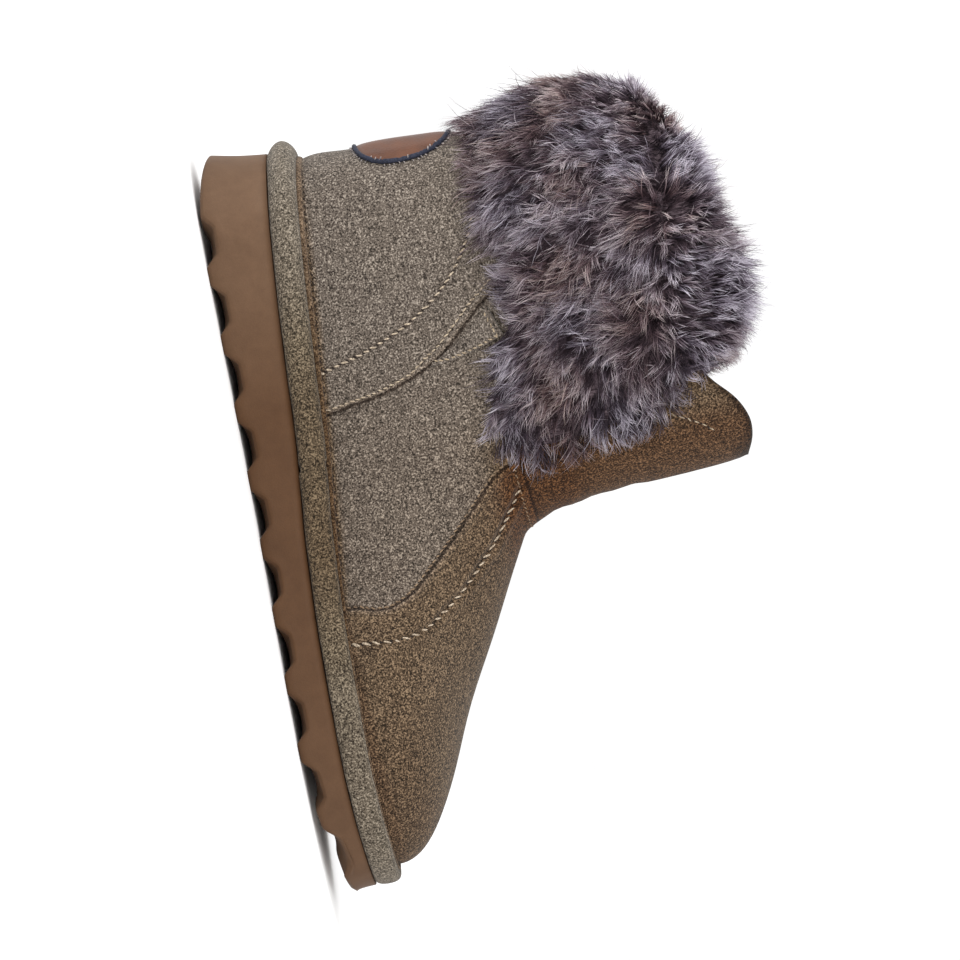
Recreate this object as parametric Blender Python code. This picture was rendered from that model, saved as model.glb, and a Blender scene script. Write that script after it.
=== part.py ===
"""Left ankle boot: a flat slip-on with a suede upper, a wrapped midsole and a deep fur cuff.

The boot is built up from its last. Every form is a stack of rings that run round the foot, from
the back of the heel along the outer side to the toe and back along the inner side. The upper, the
cuff, the midsole and the insole share the columns of those rings, so that neighbours stay parallel.
Frame: +X to the toe, +Y to the outer side of the left foot, +Z up. The origin is on the floor,
in the middle of the heel's first full lug.
"""

import math
import random
from collections import namedtuple

import bpy
from mathutils import Vector

MM = 0.001

# Outsole
SOLE_LENGTH = 262 * MM
BALL_WIDTH = 97 * MM
HEEL_THICKNESS = 27 * MM
FOREFOOT_THICKNESS = 14 * MM
HEEL_BEVEL = 5 * MM
HEEL_BEVEL_LENGTH = 38 * MM
TOE_SPRING = 7 * MM
TOE_SPRING_LENGTH = 60 * MM
HEEL_FLARE = 3.5 * MM
SIDE_FLARE = 0.8 * MM
EDGE_ROUND = 1.2 * MM
LUG_PITCH = 24.2 * MM
FIRST_NOTCH = 30 * MM
NOTCH_DEPTH = 4.2 * MM
NOTCH_REACH = 12 * MM
GROOVE_DEPTH = 1.4 * MM

# Midsole, wrapped in suede
RAND_HEIGHT_HEEL = 10.2 * MM
RAND_HEIGHT_TOE = 9.2 * MM
RAND_BULGE_HEEL = 2.8 * MM
RAND_BULGE_TOE = 0.5 * MM
BEAD_DEPTH = 2.2 * MM
RAND_UNDERCUT = 3 * MM
RAND_EDGE = 0.4 * MM
CREST_INSET = 3.2 * MM
CREST_ROUND = 2.4 * MM

# Upper, on its last
UPPER_INSET = 6 * MM
WALL = 2.6 * MM
OVERLAY = 1 * MM
SEAM_STEP = 1 * MM
COLLAR_RISE = 147 * MM
SHAFT_DEPTH = 134 * MM
SHAFT_WIDTH = 86 * MM
HEEL_CURVE = 2.5 * MM
TOE_SHIFT = 8 * MM
LOBE_RISE = 7 * MM

# Insole, patch and cuff
INSOLE_THICKNESS = 5 * MM
INSOLE_SLIP = 0.8 * MM
INSOLE_ROUND_UNDER = 0.6 * MM
INSOLE_ROUND_TOP = 1.5 * MM
PATCH_WIDTH = 50 * MM
PATCH_HEIGHT = 32.5 * MM
PATCH_CENTRE = 38.4 * MM
PATCH_THICKNESS = 1.5 * MM
FUR_DEPTH = 12 * MM
FUR_RISE = 24 * MM
FUR_TIP = 7 * MM
FUR_JITTER = 2 * MM
FUR_INSIDE = 4 * MM
FUR_LIP = 2 * MM
FUR_TUFT = 2.5 * MM
LOCK_LENGTH = 5 * MM

GAP = 0.3 * MM
SLIP = 0.5 * MM

LAST_LENGTH = SOLE_LENGTH - 2 * UPPER_INSET
HEEL_POINT = FIRST_NOTCH + LUG_PITCH / 2

# How square the patch's oval is (2 is a plain ellipse), and the section its width is measured on
PATCH_SQUARENESS = 3
PATCH_LEVEL = 4

# Columns on each side: heel counter, quarter, and vamp or tongue
HEEL_COLUMNS = 9
QUARTER_COLUMNS = 8
VAMP_COLUMNS = 11
FUR_EDGE_PLACES = 5

# A section of the last. reach and width are the sizes that its shares follow: front is the share of
# reach at the toe or instep, rise is the share of COLLAR_RISE, the half-widths are shares of width,
# caps are the shares of the section taken by its round ends, and seams are shares along it.
Section = namedtuple(
    "Section",
    "reach front rise_front rise_back back_in tip width heel waist_in waist_out ball_in ball_out "
    "heel_cap toe_cap seam_back seam_front",
)
BALL = (LAST_LENGTH, BALL_WIDTH)
SHAFT = (SHAFT_DEPTH, SHAFT_WIDTH)


def section(sizes, front, rises, back_in, tip, heel, waist, ball, caps, seams):
    """One row of the table of sections, in the order of its headings."""
    reach, width = sizes
    return Section(reach, front, *rises, back_in, tip, width, heel, *waist, *ball, *caps, *seams)


# sizes, front, (rise front, rise back), back in, tip, heel, (waist in, out), (ball in, out),
# (heel cap, toe cap), (seam back, seam front)
SECTIONS = [
    section(BALL, 1.000, (.000, .000), 0.0, 1.00, .304, (.284, .340), (.393, .483), (.120, .27), (.370, .628)),
    section(BALL, 1.007, (.048, .046), -.93, 1.00, .308, (.294, .342), (.402, .480), (.125, .28), (.368, .645)),
    section(BALL, 0.987, (.092, .087), -.79, 1.00, .313, (.309, .342), (.412, .458), (.130, .30), (.369, .663)),
    section(BALL, 0.948, (.140, .128), -.50, 0.94, .318, (.320, .346), (.405, .432), (.140, .33), (.377, .687)),
    section(BALL, 0.887, (.195, .169), -.40, 0.82, .321, (.330, .350), (.386, .402), (.150, .37), (.394, .713)),
    section(BALL, 0.799, (.258, .216), -.40, 0.62, .321, (.335, .350), (.362, .370), (.165, .41), (.421, .739)),
    section(BALL, 0.710, (.345, .264), -.24, 0.42, .321, (.340, .350), (.342, .346), (.185, .44), (.444, .763)),
    section(BALL, 0.631, (.409, .318), .02, 0.25, .323, (.345, .352), (.338, .342), (.210, .47), (.446, .784)),
    section(SHAFT, 1.077, (.455, .380), .18, 0.12, .370, (.405, .410), (.390, .390), (.250, .50), (.431, .820)),
    section(SHAFT, 1.027, (.537, .440), .32, 0.05, .385, (.425, .430), (.400, .400), (.300, .50), (.406, .845)),
    section(SHAFT, 1.017, (.630, .522), .22, 0.00, .410, (.450, .450), (.425, .425), (.360, .50), (.385, .855)),
    section(SHAFT, 1.008, (.740, .625), .13, 0.00, .445, (.475, .475), (.455, .455), (.420, .50), (.370, .848)),
    section(SHAFT, 1.010, (.862, .747), .03, 0.00, .475, (.495, .495), (.480, .480), (.470, .50), (.365, .804)),
    section(SHAFT, 0.998, (1.00, .883), -.10, 0.00, .495, (.505, .505), (.495, .495), (.500, .50), (.360, .760)),
]
THROAT = 8
THROAT_STEP = 0.16
COLLAR = len(SECTIONS) - 1

# The sole's outline: share along, then half-widths on the inner and outer side as shares of BALL_WIDTH
SOLE_OUTLINE = [
    (0.00, .366, .366),
    (0.15, .366, .366),
    (0.30, .345, .378),
    (0.45, .345, .405),
    (0.60, .410, .478),
    (0.71, .455, .545),
    (0.85, .460, .520),
    (1.00, .440, .440),
]
SOLE_CAPS = (.135, .22, .31)

# How the outsole thins: share along, share of the difference between heel and forefoot thickness
SOLE_WEDGE = [
    (.00, 1.0), (.14, .73), (.27, .52), (.39, .38), (.46, .25),
    (.53, .12), (.66, .015), (.77, 0.0), (.88, 0.0), (1.0, .11),
]

# The collar's top line: share along the collar, share of LOBE_RISE above or below its section
TOP_LINE = [
    (.00, -1.0), (.12, -.3), (.50, -.5), (.75, -.9), (.79, -.6),
    (.83, .3), (.87, .8), (.91, 1.1), (.96, 1.0), (1.0, .6),
]

# The fur's crest above the collar: share along the collar, share of FUR_RISE
FUR_CREST = [(.00, .04), (.07, .38), (.14, .62), (.30, .76), (.60, 1.0), (.66, .90), (.72, .60), (.76, .15)]

# The share of FUR_RISE below which the cuff's upper edge is drawn in, and by what share of its depth
FUR_SHOULDER = .35
FUR_DRAWN_IN = .40

# Tiers of locks on the cuff, from the top: section level, share of FUR_DEPTH at tips and at roots
FUR_TIERS = [
    (12.5, 1.00, .76),
    (11.6, 1.10, .82),
    (10.7, 1.06, .78),
    (9.8, .88, .66),
    (8.9, .74, .55),
]


def smooth(rows, at, column=1):
    """The value at a share along a table, on a smooth curve through its rows."""
    keys = [row[0] for row in rows]
    at = min(max(at, keys[0]), keys[-1])
    last = len(rows) - 1
    low = next(i for i in range(last) if at <= keys[i + 1])

    def slope(i):
        before, after = max(i - 1, 0), min(i + 1, last)
        return (rows[after][column] - rows[before][column]) / (keys[after] - keys[before])

    span = keys[low + 1] - keys[low]
    t = (at - keys[low]) / span
    start, end = rows[low][column], rows[low + 1][column]
    return (
        start * (2 * t**3 - 3 * t**2 + 1)
        + slope(low) * span * (t**3 - 2 * t**2 + t)
        + end * (3 * t**2 - 2 * t**3)
        + slope(low + 1) * span * (t**3 - t**2)
    )


def ease(t):
    """Rises smoothly from 0 to 1."""
    t = min(max(t, 0), 1)
    return t * t * (3 - 2 * t)


def cap(share, heel_cap, toe_cap):
    """How far a section is closed in by its round ends."""
    if share < heel_cap:
        return math.sqrt(max(0, 1 - (1 - share / heel_cap) ** 2))
    if share > 1 - toe_cap:
        return math.sqrt(max(0, 1 - (1 - (1 - share) / toe_cap) ** 2))
    return 1


def turn_of(share):
    """The turn round a section, from 0 at the heel to pi at the toe, that lies at a share along it."""
    return math.acos(1 - 2 * min(max(share, 0), 1))


def floor_height(x):
    """The outsole's underside, over its lugs: flat, with a bevel at the heel and a spring at the toe."""
    heel = max(0, 1 - x / HEEL_BEVEL_LENGTH)
    toe = max(0, 1 - (SOLE_LENGTH - x) / TOE_SPRING_LENGTH)
    return HEEL_BEVEL * heel**2 + TOE_SPRING * toe**2


def sole_top(x):
    """The height of the outsole's upper face."""
    return FOREFOOT_THICKNESS + smooth(SOLE_WEDGE, x / SOLE_LENGTH) * (HEEL_THICKNESS - FOREFOOT_THICKNESS)


def rand_height(x):
    return RAND_HEIGHT_HEEL + (RAND_HEIGHT_TOE - RAND_HEIGHT_HEEL) * ease(x / SOLE_LENGTH)


def rand_bulge(turn):
    """How far the rand rolls out past the sole's edge, most at the back of the heel."""
    share = (1 - math.cos(turn)) / 2
    return RAND_BULGE_HEEL + (RAND_BULGE_TOE - RAND_BULGE_HEEL) * ease(share)


def feather(x):
    """The height at which the upper stands on the midsole."""
    return sole_top(x) + GAP + rand_height(x) - BEAD_DEPTH


def centre_line(share):
    """The sideways lie of the foot's centre line, which turns to the inner side at the toe."""
    return -TOE_SHIFT * ease((share - .35) / .65)


def sole_point(turn, inset):
    """A point in plan on the sole's outline, moved in by inset. turn runs from 0 to 2 pi."""
    def on_outline(angle):
        share = (1 - math.cos(angle)) / 2
        outer = math.sin(angle) >= 0
        half = smooth(SOLE_OUTLINE, share, 2 if outer else 1) * BALL_WIDTH
        half *= cap(share, SOLE_CAPS[0], SOLE_CAPS[2 if outer else 1])
        return Vector((share * SOLE_LENGTH, centre_line(share) + (half if outer else -half)))

    step = 1e-3
    along = on_outline(turn + step) - on_outline(turn - step)
    inward = Vector((along.y, -along.x)).normalized()
    return on_outline(turn) + inward * inset


def side_columns(row):
    """Turns of one side's columns, from the heel to the toe, with a close pair at each seam."""
    size = row.front * row.reach
    back = (turn_of(row.seam_back - SEAM_STEP / size / 2), turn_of(row.seam_back + SEAM_STEP / size / 2))
    front = (turn_of(row.seam_front - SEAM_STEP / size / 2), turn_of(row.seam_front + SEAM_STEP / size / 2))
    turns = []
    for low, high, count in (
        (0, back[0], HEEL_COLUMNS),
        (back[1], front[0], QUARTER_COLUMNS),
        (front[1], math.pi, VAMP_COLUMNS),
    ):
        turns += [low + (high - low) * i / (count - 1) for i in range(count)]
    return turns


def round_columns(row):
    """Turns of all columns, once round from the back of the heel over the outer side."""
    side = side_columns(row)
    return side + [2 * math.pi - turn for turn in side[-2:0:-1]]


COLUMNS = len(round_columns(SECTIONS[0]))
QUARTER_START = HEEL_COLUMNS
VAMP_START = HEEL_COLUMNS + QUARTER_COLUMNS


def from_heel(column):
    """The number of columns between this one and the back of the heel."""
    return min(column, COLUMNS - column)


def last_ring(level):
    """One section of the last as points, from the table of sections."""
    row = SECTIONS[level]
    if level == 0:
        plan = [sole_point(turn, UPPER_INSET) for turn in round_columns(row)]
        return [Vector((p.x, p.y, feather(p.x))) for p in plan]
    start = UPPER_INSET + row.back_in * HEEL_CURVE
    length = row.front * row.reach
    half_widths = {
        side: [(0, row.heel), (.15, row.heel), (.45, waist), (.75, ball), (1, ball * .96)]
        for side, waist, ball in (("out", row.waist_out, row.ball_out), ("in", row.waist_in, row.ball_in))
    }
    ring = []
    for turn in round_columns(row):
        share = (1 - math.cos(turn)) / 2
        outer = math.sin(turn) >= 0
        half = smooth(half_widths["out" if outer else "in"], share) * row.width
        half *= cap(share, row.heel_cap, row.toe_cap)
        x = start + share * length
        y = -row.tip * TOE_SHIFT * ease((share - .35) / .65) + (half if outer else -half)
        rise = (row.rise_back + (row.rise_front - row.rise_back) * share) * COLLAR_RISE
        if level == COLLAR:
            rise += smooth(TOP_LINE, share) * LOBE_RISE
        ring.append(Vector((x, y, feather(x) + rise)))
    return ring


LAST = [last_ring(level) for level in range(len(SECTIONS))]


def last_point(level, column):
    """A point of the last between its sections, on a smooth curve up one column."""
    low = min(max(int(math.floor(level)), 0), COLLAR - 1)
    column %= COLUMNS
    rows = [(k, LAST[k][column]) for k in range(max(low - 1, 0), min(low + 2, COLLAR) + 1)]
    return smooth(rows, level)


def last_normal(level, column):
    """The outward normal of the last at a level and a column."""
    low, high = max(level - .05, 0), min(level + .05, COLLAR)
    up = last_point(high, column) - last_point(low, column)
    around = last_point(level, column + 1) - last_point(level, column - 1)
    return up.cross(around).normalized()


def overlay(level, column):
    """How far the outer face stands over the quarter: the heel counter and the vamp lie on top."""
    place = from_heel(column)
    if place < QUARTER_START:
        return OVERLAY
    if place >= VAMP_START and level <= THROAT:
        return OVERLAY
    return 0


def upper_face(level, column, out):
    """A point at a distance out from the upper's outer face, or from its inner face if out is negative."""
    base = overlay(level, column) if out >= 0 else -WALL
    point = last_point(level, column) + last_normal(level, column) * (base + out)
    if level == 0:
        point.z = feather(point.x) + GAP
    return point


def skin(rings, around=True):
    """Faces between rings of equal count, facing out where the rings rise and turn from +X to +Y."""
    count = len(rings[0])
    faces = []
    for low in range(len(rings) - 1):
        for i in range(count if around else count - 1):
            j = (i + 1) % count
            a, b = low * count, (low + 1) * count
            faces.append((a + i, b + i, b + j, a + j))
    return faces


def across(first, count, facing_up):
    """Faces that close a ring from side to side, between columns at the same share along it."""
    faces = []
    for i in range(count // 2):
        left = (first + i, first + i + 1)
        right = (first + (count - i) % count, first + count - i - 1)
        face = (left[0], left[1], right[1], right[0])
        face = tuple(dict.fromkeys(face))
        faces.append(face[::-1] if facing_up else face)
    return faces


def finish(colour, roughness, name):
    material = bpy.data.materials.new(name)
    material.use_nodes = True
    shader = material.node_tree.nodes["Principled BSDF"]
    shader.inputs["Base Color"].default_value = (*colour, 1)
    shader.inputs["Roughness"].default_value = roughness
    shader.inputs["Metallic"].default_value = 0
    return material


def add_solid(name, points, faces, material, smooth_angle=40):
    """One named solid of the boot, on the boot's empty."""
    mesh = bpy.data.meshes.new(name)
    mesh.from_pydata([tuple(p) for p in points], [], faces)
    mesh.validate()
    mesh.shade_smooth()
    mesh.set_sharp_from_angle(angle=math.radians(smooth_angle))
    mesh.materials.append(material)
    solid = bpy.data.objects.new(name, mesh)
    solid.parent = boot
    bpy.context.scene.collection.objects.link(solid)
    return solid


def flare(turn):
    """How far the sole's foot stands out past its top edge, most at the back of the heel."""
    share = (1 - math.cos(turn)) / 2
    return SIDE_FLARE + (HEEL_FLARE - SIDE_FLARE) * (1 - ease(share / .16))


def lug_stations():
    """Places along the sole for its columns, with the share of a notch's depth at each."""
    edges = [(-.36, 0), (-.19, 1), (.19, 1), (.36, 0)]
    count = int((SOLE_LENGTH - FIRST_NOTCH) / LUG_PITCH) + 1
    stations = []
    for notch in range(count):
        centre = FIRST_NOTCH + notch * LUG_PITCH
        stations += [(centre + shift * LUG_PITCH, depth) for shift, depth in edges]
    stations = [(x, depth) for x, depth in stations if 0.01 * SOLE_LENGTH < x < 0.985 * SOLE_LENGTH]
    first, last = stations[0][0], stations[-1][0]
    heel = [(first * (1 - math.cos(math.pi / 2 * i / 5)), 0) for i in range(5)]
    toe = [(SOLE_LENGTH - (SOLE_LENGTH - last) * (1 - math.cos(math.pi / 2 * i / 3)), 0) for i in (2, 1, 0)]
    return heel + stations + toe


def build_outsole():
    """The moulded outsole, with notches scooped into its lower edge and shallow grooves between lugs."""
    stations = lug_stations()
    side = [(turn_of(x / SOLE_LENGTH), depth) for x, depth in stations]
    columns = side + [(2 * math.pi - turn, depth) for turn, depth in side[-2:0:-1]]

    def ring(inset, height):
        made = []
        for turn, depth in columns:
            p = sole_point(turn, inset(turn))
            made.append(Vector((p.x, p.y, height(p.x, depth))))
        return made

    def foot(lift, depth):
        return lambda x, notch: floor_height(x) + lift + notch * depth

    rings = [
        ring(lambda turn: NOTCH_REACH, foot(0, GROOVE_DEPTH)),
        ring(lambda turn: EDGE_ROUND * 2.5 - flare(turn), foot(0, NOTCH_DEPTH)),
        ring(lambda turn: EDGE_ROUND - flare(turn), foot(0, NOTCH_DEPTH)),
        ring(lambda turn: -flare(turn), foot(EDGE_ROUND, NOTCH_DEPTH)),
        ring(lambda turn: -flare(turn) * .35, lambda x, notch: sole_top(x) * .62),
        ring(lambda turn: 0, lambda x, notch: sole_top(x)),
    ]
    count = len(columns)
    points = [p for made in rings for p in made]
    faces = skin(rings)
    faces += across(0, count, facing_up=False)
    faces += across((len(rings) - 1) * count, count, facing_up=True)
    return add_solid("outsole", points, faces, finish((.19, .115, .075), .62, "sole_rubber"), 30)


def build_midsole():
    """The midsole in its suede wrap: a rounded rand, a crest, and the well that the upper stands in."""
    turns = round_columns(SECTIONS[0])
    # inset from the sole's outline, share of the bulge, share of the rand's height
    profile = [
        (RAND_UNDERCUT, 0, 0.0),
        (RAND_EDGE, 0, 0.03),
        (0, .75, 0.24),
        (0, 1, 0.50),
        (0, .60, 0.78),
        (CREST_INSET - CREST_ROUND, 0, 0.96),
        (CREST_INSET, 0, 1.0),
    ]
    rings = []
    for inset, bulge, share in profile:
        plan = [sole_point(turn, inset - bulge * rand_bulge(turn)) for turn in turns]
        rings.append([Vector((p.x, p.y, sole_top(p.x) + GAP + share * rand_height(p.x))) for p in plan])
    plan = [sole_point(turn, UPPER_INSET - OVERLAY - SLIP) for turn in turns]
    rings.append([Vector((p.x, p.y, feather(p.x))) for p in plan])
    points = [p for made in rings for p in made]
    faces = skin(rings)
    faces += across(0, COLUMNS, facing_up=False)
    faces += across((len(rings) - 1) * COLUMNS, COLUMNS, facing_up=True)
    return add_solid("midsole_wrap", points, faces, finish((.19, .155, .115), .9, "rand_suede"), 50)


def wall_foot(column, lift, gap):
    """A point inside the upper at the foot of its wall, at a height over its rim and a gap from it."""
    low, high = (upper_face(level, column, -gap) for level in (0, 1))
    return low.lerp(high, lift / (high.z - low.z))


def build_insole():
    """The footbed, which lies in the upper on the midsole."""
    # height over the upper's rim, gap from its wall
    profile = [
        (0, INSOLE_SLIP + INSOLE_ROUND_UNDER),
        (.25 * INSOLE_THICKNESS, INSOLE_SLIP),
        (.65 * INSOLE_THICKNESS, INSOLE_SLIP),
        (INSOLE_THICKNESS, INSOLE_SLIP + INSOLE_ROUND_TOP),
    ]
    rings = [[wall_foot(column, lift, gap) for column in range(COLUMNS)] for lift, gap in profile]
    points = [p for made in rings for p in made]
    faces = skin(rings)
    faces += across(0, COLUMNS, facing_up=False)
    faces += across((len(rings) - 1) * COLUMNS, COLUMNS, facing_up=True)
    return add_solid("insole", points, faces, finish((.42, .38, .33), .95, "fleece"), 50)


def build_upper():
    """Vamp, counter, quarters and tongue as one wall, open at the collar and underneath."""
    levels = sorted(list(range(len(SECTIONS))) + [THROAT + THROAT_STEP])
    outer = [[upper_face(level, column, 0) for column in range(COLUMNS)] for level in levels]
    inner = [[upper_face(level, column, -1e-9) for column in range(COLUMNS)] for level in reversed(levels)]
    rings = outer + inner
    points = [p for made in rings for p in made]
    faces = skin(rings)
    top = (len(rings) - 1) * COLUMNS
    for i in range(COLUMNS):
        j = (i + 1) % COLUMNS
        faces.append((top + i, i, j, top + j))
    return add_solid("upper", points, faces, finish((.16, .125, .09), .92, "upper_suede"), 50)


def column_at(distance, level):
    """The column, with its fraction, at a distance round the heel from the centre back."""
    for step in range(HEEL_COLUMNS - 1):
        length = (last_point(level, step + 1) - last_point(level, step)).length
        if distance <= length:
            return step + distance / length
        distance -= length
    return HEEL_COLUMNS - 1


def heel_face(column, height, out):
    """A point over the faces at the back of the heel, at a height over the feather."""
    rises = [row.rise_back * COLLAR_RISE for row in SECTIONS]
    low = next(k for k in range(1, COLLAR) if rises[k + 1] >= height)
    up = (height - rises[low]) / (rises[low + 1] - rises[low])
    left = math.floor(column)
    rows = [
        upper_face(level, left, out).lerp(upper_face(level, left + 1, out), column - left)
        for level in (low, low + 1)
    ]
    return rows[0].lerp(rows[1], up)


def build_patch():
    """The oval leather patch at the back of the heel, thinner at its border."""
    reach = column_at(PATCH_WIDTH / 2, PATCH_LEVEL)
    side = sorted({k / reach for k in range(1, int(reach * .93) + 1)} | {.22, .67, .96, 1.0})
    shares = [-share for share in reversed(side)] + [0] + side
    # share of the oval's half-height, share of the thickness
    rows = [(-1, .35), (-.8, 1), (-.4, 1), (0, 1), (.4, 1), (.8, 1), (1, .35)]
    outer, inner = [], []
    for share in shares:
        half = PATCH_HEIGHT / 2 * max(.16, (1 - abs(share) ** PATCH_SQUARENESS) ** (1 / PATCH_SQUARENESS))
        edge = .35 if abs(share) == 1 else 1
        for height, thick in rows:
            z = PATCH_CENTRE + height * half
            outer.append(heel_face(share * reach, z, SLIP + min(thick, edge) * PATCH_THICKNESS))
            inner.append(heel_face(share * reach, z, SLIP))
    count, wide = len(rows), len(shares)
    under = len(outer)
    faces = []
    for i in range(wide - 1):
        for j in range(count - 1):
            a, b = i * count + j, (i + 1) * count + j
            faces.append((a, a + 1, b + 1, b))
            faces.append((under + a, under + b, under + b + 1, under + a + 1))
    border = [i * count for i in range(wide)]
    border += [(wide - 1) * count + j for j in range(1, count)]
    border += [i * count + count - 1 for i in range(wide - 2, -1, -1)]
    border += [j for j in range(count - 2, 0, -1)]
    for here, there in zip(border, border[1:] + border[:1]):
        faces.append((here, there, under + there, under + here))
    return add_solid("heel_patch", outer + inner, faces, finish((.30, .15, .09), .5, "patch_leather"), 50)


def fur_profile(order, half_column, edge):
    """The cuff's section at one place: up the wall, over the rim, inside, over the crest, down its locks.

    half_column counts half columns from the back of the heel, and edge runs from 0 at the cuff's
    front edges to 1 where it has its full depth.
    """
    low, high = half_column // 2, (half_column + 1) // 2
    turns = round_columns(SECTIONS[COLLAR])
    turn = (turns[low % COLUMNS] + turns[high % COLUMNS]) / 2 if abs(half_column) > 1 else 0
    crest = smooth(FUR_CREST, (1 - math.cos(turn)) / 2) * FUR_RISE
    depth = FUR_DEPTH * (.55 + .45 * ease(edge))
    drawn_in = FUR_DRAWN_IN * (1 - ease(crest / (FUR_RISE * FUR_SHOULDER)))
    luck = random.Random(order)

    def at(level, out, up=0.0, jitter=0.0):
        out += luck.uniform(-jitter, jitter) * FUR_JITTER
        up += luck.uniform(-jitter, jitter) * FUR_JITTER
        point = upper_face(level, low, out).lerp(upper_face(level, high, out), .5)
        return point + Vector((0, 0, up))

    wall = [at(level, SLIP) for level in (THROAT + THROAT_STEP, *range(THROAT + 1, COLLAR + 1))]
    rim = [
        at(COLLAR, SLIP, SLIP),
        at(COLLAR, -SLIP, SLIP),
        at(COLLAR - 1, -SLIP),
    ]
    inside = [
        at(COLLAR - 1, -SLIP - FUR_INSIDE, FUR_LIP / 2),
        at(COLLAR, -SLIP - FUR_INSIDE * 1.2, FUR_LIP, .3),
        at(COLLAR, -SLIP, crest * .66 + FUR_LIP, .4),
    ]
    lock = 1 if order % 2 else -1
    top = [
        at(COLLAR, depth * .35, crest + FUR_LIP + FUR_TUFT * lock, .6),
        at(COLLAR, depth * (.80 + .08 * lock - drawn_in), crest * .72, .5),
    ]
    tiers = []
    for count, (level, tip, root) in enumerate(FUR_TIERS):
        if count == 0:
            tip, root = tip - drawn_in / 2, root - drawn_in / 2
        lock = 1 if (order + count) % 2 else -1
        tiers.append(at(level, depth * (tip + .10 * lock), -LOCK_LENGTH * (1 + lock) / 2, .8))
        tiers.append(at(level - .10, depth * root, -LOCK_LENGTH * (1 + lock) / 2, .3))
    fringe = [
        at(THROAT, depth * (.60 + .08 * lock), -FUR_TIP - LOCK_LENGTH * lock / 2, .8),
        at(THROAT, depth * .30, -FUR_TIP * .55, .3),
    ]
    return wall + rim + inside + top + tiers + fringe


def build_cuff():
    """The fur cuff: one band round the back of the shaft, open at the tongue, with its locks raised in tiers."""
    reach = 2 * (VAMP_START - 1)
    places = range(-reach, reach + 1)
    rings = [
        fur_profile(order, place, (reach - abs(place)) / FUR_EDGE_PLACES)
        for order, place in enumerate(places)
    ]
    points = [p for made in rings for p in made]
    faces = skin(rings)
    count = len(rings[0])
    last = (len(rings) - 1) * count
    faces.append(tuple(range(count)))
    faces.append(tuple(last + i for i in reversed(range(count))))
    return add_solid("fur_cuff", points, faces, finish((.13, .11, .12), .95, "fur"), 60)


for old in list(bpy.data.objects):
    bpy.data.objects.remove(old, do_unlink=True)

boot = bpy.data.objects.new("boot", None)
boot.location = (-HEEL_POINT, 0, 0)
bpy.context.scene.collection.objects.link(boot)

build_outsole()
build_midsole()
build_insole()
build_upper()
build_patch()
build_cuff()
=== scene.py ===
"""The looks of the left ankle boot: speckled suede, a wrapped midsole, a notched sole and a fur cuff.

Frame: +X to the toe, +Y to the outer side of the left foot, +Z up, in metres.
Seams are written in millimetres: x from the back of the rand, z from the floor, seen from the side.
"""

import math
import random

import bmesh
import bpy
import numpy as np
from mathutils import Matrix, Vector
from mathutils.bvhtree import BVHTree


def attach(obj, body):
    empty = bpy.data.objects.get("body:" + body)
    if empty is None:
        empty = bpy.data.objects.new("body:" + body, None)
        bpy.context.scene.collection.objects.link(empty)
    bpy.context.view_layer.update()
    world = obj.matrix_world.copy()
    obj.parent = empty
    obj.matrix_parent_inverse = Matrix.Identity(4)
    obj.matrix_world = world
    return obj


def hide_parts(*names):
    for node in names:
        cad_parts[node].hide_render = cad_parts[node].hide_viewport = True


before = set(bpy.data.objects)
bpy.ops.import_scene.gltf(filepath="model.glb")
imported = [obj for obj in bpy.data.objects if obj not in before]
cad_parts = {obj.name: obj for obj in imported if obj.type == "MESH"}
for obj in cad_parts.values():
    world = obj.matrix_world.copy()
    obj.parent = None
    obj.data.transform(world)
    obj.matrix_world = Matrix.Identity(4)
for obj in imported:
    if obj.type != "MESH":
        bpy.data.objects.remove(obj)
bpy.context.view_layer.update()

MM = 0.001
BACK = -43.6

SIDES = ((-1, "inner"), (1, "outer"))

# Seams on both sides, from the rand upwards: x and z in millimetres
COUNTER_STITCH = [(85, 28), (82, 40), (79, 51), (72, 67), (61, 81.5), (48, 91), (38, 95), (20, 99), (5, 100)]
COUNTER_EDGE = [
    (98.7, 27.3), (97.9, 34.2), (96.9, 40.4), (96.1, 46.9), (94.6, 54.1),
    (91.4, 63.7), (86.4, 73.6), (78.6, 82.9), (70.9, 91.5), (65.1, 100.2),
]
VAMP_EDGE = [
    (167.2, 22.0), (167.7, 28.9), (169.5, 35.2), (169.4, 41.9), (165.4, 50.1),
    (154.9, 61.7), (142.9, 73.8), (131.9, 84.5), (127.1, 93.2),
]
VAMP_STITCH = [
    (179.5, 22), (180.5, 33), (181, 43), (178.6, 51.5), (174.5, 58),
    (169, 65), (158, 76), (147, 85), (136.5, 92),
]
THROAT_EDGE = [(127.1, 93.4), (136, 94.4), (145, 95.2), (156, 95.8)]

# The middle of the foot and shaft, toe to collar: x from the heel lug, y and z in millimetres
LAST_MIDDLE = [(195, -5, 30), (150, -3, 40), (95, 0, 55), (40, 0, 75), (25, 0, 110), (25, 0, 175)]
SHAFT_MIDDLE = 26 * MM
TONGUE_HALF = math.radians(46)
THROAT_HALF = math.radians(22)
# Along the boot, the top of the rand on the upper and the crease where its needle holes lie: x, then z
RAND_TOP = ([0, 60, 120, 170, 250], [37, 33, 28, 23, 27])
CREASE = ([0, 46, 114, 179, 232, 262], [38.3, 35.8, 29.4, 23.9, 22.4, 22.8])
BUTT_SEAM = 115.5
# The counter's pointed end, from its front foot round to its tip: x and z
TAB_CORNERS = [(89.6, 69.8), (88.9, 70.6), (73.0, 94.0), (83.4, 97.4)]
# Where on the counter's end no fur may lie: x and z
TAB_CLEAR = [(68.5, 93.0), (91.0, 68.0), (84.6, 98.2)]
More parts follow.
